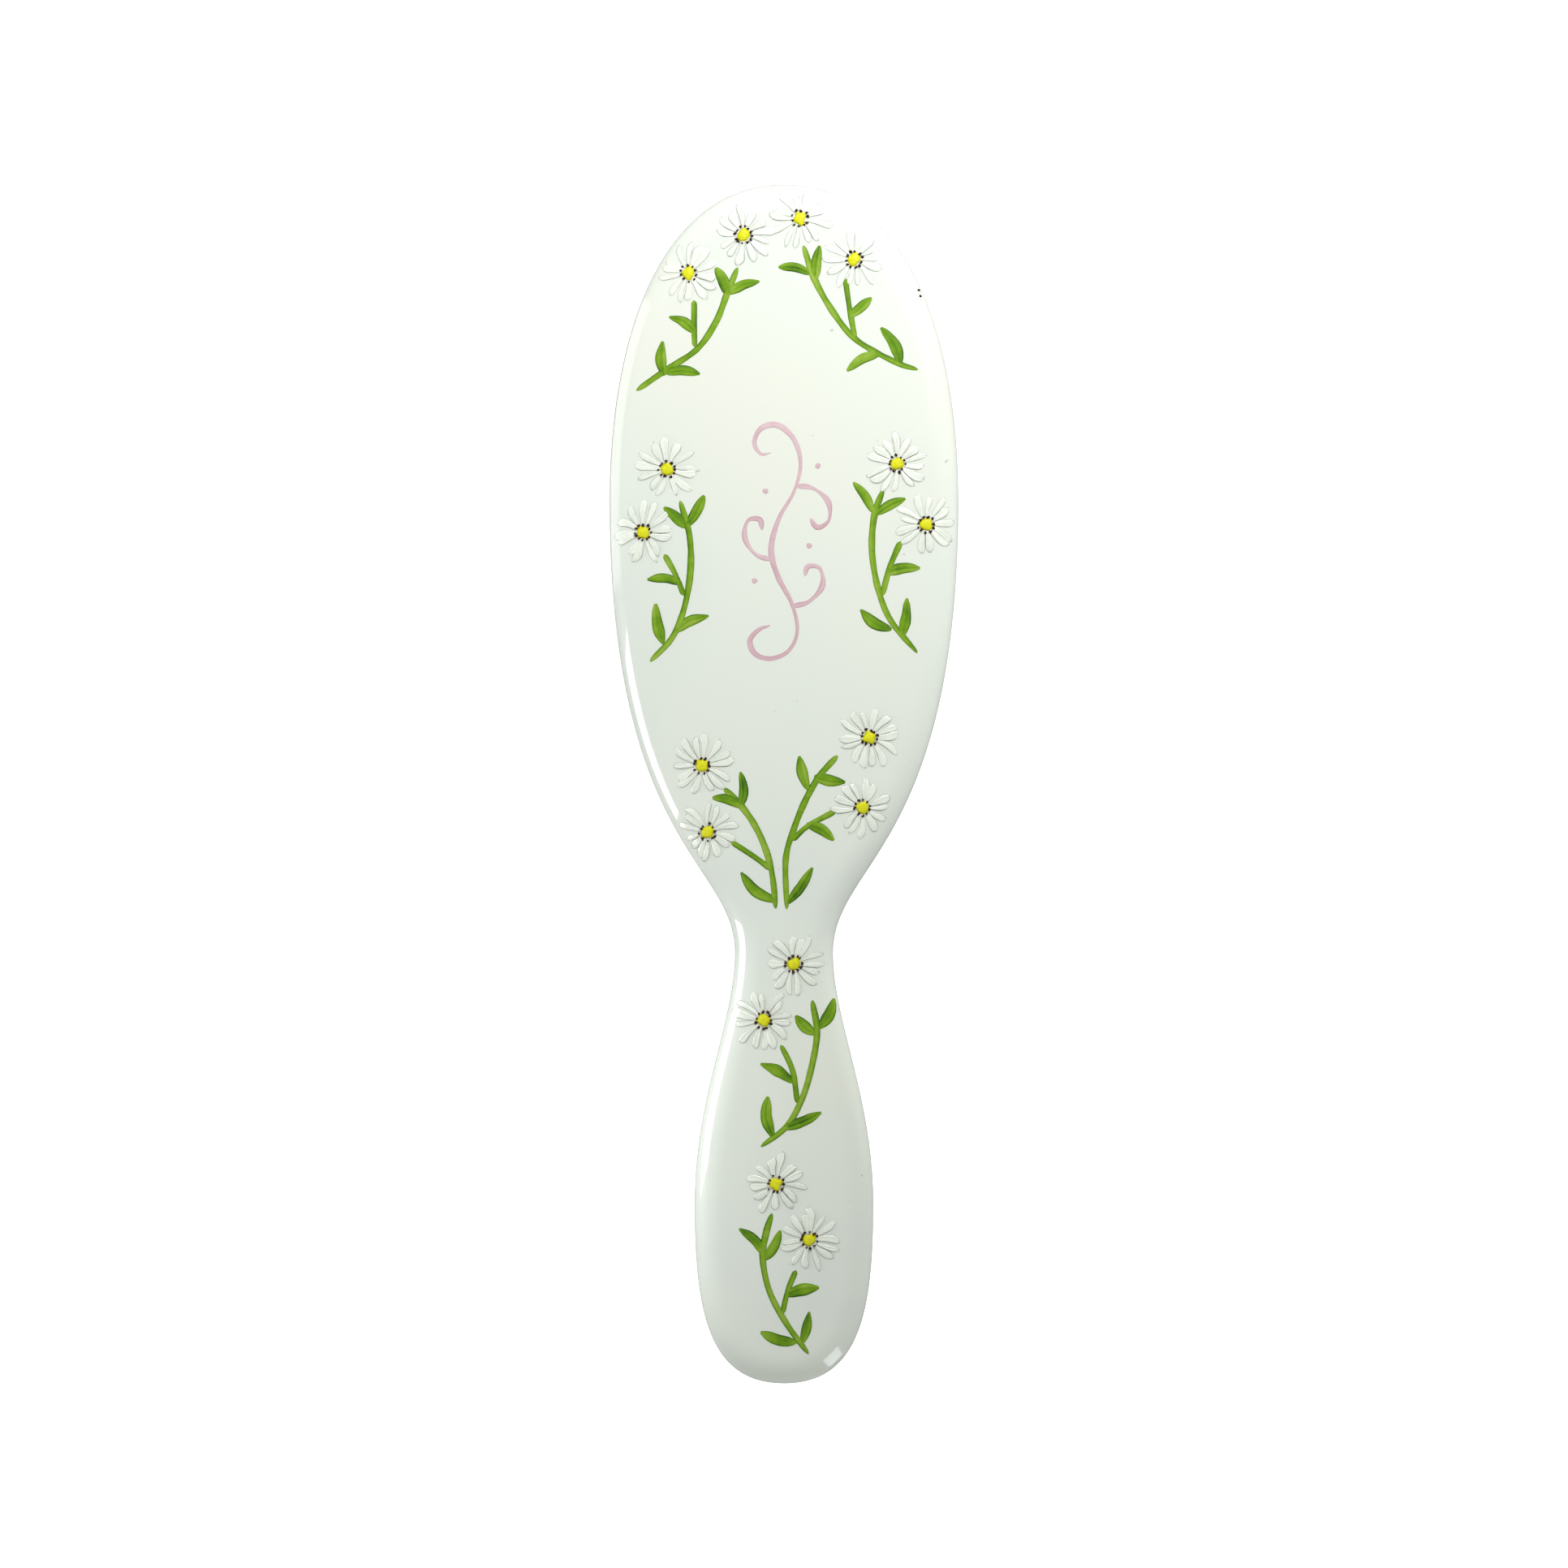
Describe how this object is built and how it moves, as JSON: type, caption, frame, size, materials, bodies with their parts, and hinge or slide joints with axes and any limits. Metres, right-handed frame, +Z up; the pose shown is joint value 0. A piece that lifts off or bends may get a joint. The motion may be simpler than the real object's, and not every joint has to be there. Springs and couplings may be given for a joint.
{
  "type": "hairbrush",
  "caption": "Oval cushion hairbrush with a one-piece white lacquered body, a waisted handle, ball-tipped pins in a domed rubber pad and painted daisies on its back.",
  "frame": {"origin": "under the middle of the brush's length and width, on the plane that the pin tips stand on", "axes": "+Y from the handle to the crown of the head, +Z up out of the back, the brush lying on its pins"},
  "size_m": [0.064, 0.22, 0.036],
  "materials": {
    "white_lacquer": "polished",
    "pale_rubber": "matte",
    "lining_cloth": "matte",
    "white_nylon": "gloss",
    "petal_paint": "gloss",
    "flower_centre_paint": "gloss",
    "seed_dot_paint": "gloss",
    "leaf_paint": "gloss",
    "flourish_paint": "gloss"
  },
  "bodies": {
    "body": {"brush_body": "white_lacquer", "rubber_cushion": "pale_rubber"},
    "pin_bed": {"cushion_lining": "lining_cloth", "pin_r01_c1": "white_nylon", "pin_r01_c2": "white_nylon", "pin_r01_c3": "white_nylon", "pin_r02_c1": "white_nylon", "pin_r02_c2": "white_nylon", "pin_r02_c3": "white_nylon", "pin_r02_c4": "white_nylon", "pin_r03_c1": "white_nylon", "pin_r03_c2": "white_nylon", "pin_r03_c3": "white_nylon", "pin_r03_c4": "white_nylon", "pin_r03_c5": "white_nylon", "pin_r04_c1": "white_nylon", "pin_r04_c2": "white_nylon", "pin_r04_c3": "white_nylon", "pin_r04_c4": "white_nylon", "pin_r05_c1": "white_nylon", "pin_r05_c2": "white_nylon", "pin_r05_c3": "white_nylon", "pin_r05_c4": "white_nylon", "pin_r05_c5": "white_nylon", "pin_r06_c1": "white_nylon", "pin_r06_c2": "white_nylon", "pin_r06_c3": "white_nylon", "pin_r06_c4": "white_nylon", "pin_r07_c1": "white_nylon", "pin_r07_c2": "white_nylon", "pin_r07_c3": "white_nylon", "pin_r07_c4": "white_nylon", "pin_r07_c5": "white_nylon", "pin_r08_c1": "white_nylon", "pin_r08_c2": "white_nylon", "pin_r08_c3": "white_nylon", "pin_r08_c4": "white_nylon", "pin_r09_c1": "white_nylon", "pin_r09_c2": "white_nylon", "pin_r09_c3": "white_nylon", "pin_r09_c4": "white_nylon", "pin_r09_c5": "white_nylon", "pin_r10_c1": "white_nylon", "pin_r10_c2": "white_nylon", "pin_r10_c3": "white_nylon", "pin_r10_c4": "white_nylon", "pin_r11_c1": "white_nylon", "pin_r11_c2": "white_nylon", "pin_r11_c3": "white_nylon", "pin_r11_c4": "white_nylon", "pin_r11_c5": "white_nylon", "pin_r12_c1": "white_nylon", "pin_r12_c2": "white_nylon", "pin_r12_c3": "white_nylon", "pin_r12_c4": "white_nylon", "pin_r13_c1": "white_nylon", "pin_r13_c2": "white_nylon", "pin_r13_c3": "white_nylon"}
  },
  "joints": [
    {"name": "cushion_press", "type": "slide", "parent": "body", "child": "pin_bed", "axis": [0, 0, 1], "range_m": [0, 0.004], "stiffness_N_per_m": 2500, "springref_m": -0.0005, "deforming": ["rubber_cushion"]}
  ]
}
